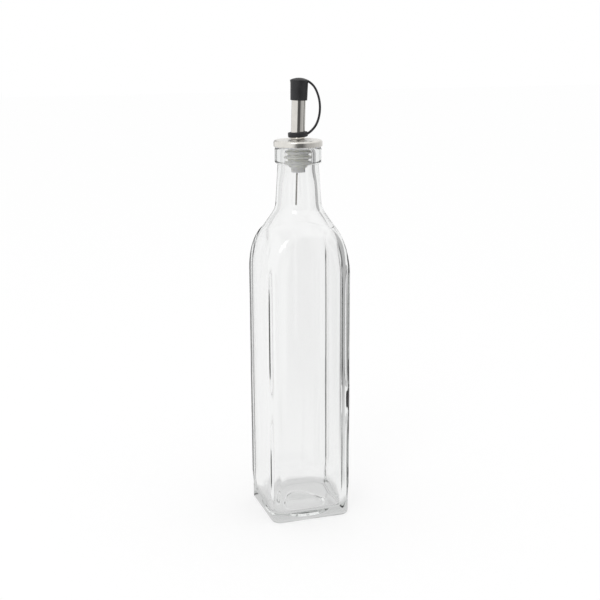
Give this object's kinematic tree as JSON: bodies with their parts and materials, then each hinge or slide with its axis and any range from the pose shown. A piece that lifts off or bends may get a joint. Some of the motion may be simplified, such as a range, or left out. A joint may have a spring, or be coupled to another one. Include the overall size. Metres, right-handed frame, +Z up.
{
  "type": "oil bottle with pourer",
  "caption": "Tall square bottle of clear glass with rounded shoulders and faceted corners, closed by a plug with a steel plate, a leaning steel spout and a tethered rubber cap.",
  "frame": {"origin": "middle of the face the bottle stands on", "axes": "+Z up along the bottle's axis, towards the spout; the four panels face -X, +X, -Y and +Y; the spout leans and the tether hangs towards +X, turned 18 degrees towards -Y"},
  "size_m": [0.06, 0.06, 0.3129],
  "materials": {
    "glass": "clear and smooth",
    "plug": "translucent, soft",
    "steel": "satin to polished",
    "rubber": "matt black"
  },
  "bodies": {
    "root": {"bottle_glass": "glass", "stopper": "plug", "cap_plate": "steel", "spout_tube": "steel", "vent_tube": "steel", "rubber_cap": "rubber"}
  },
  "joints": []
}
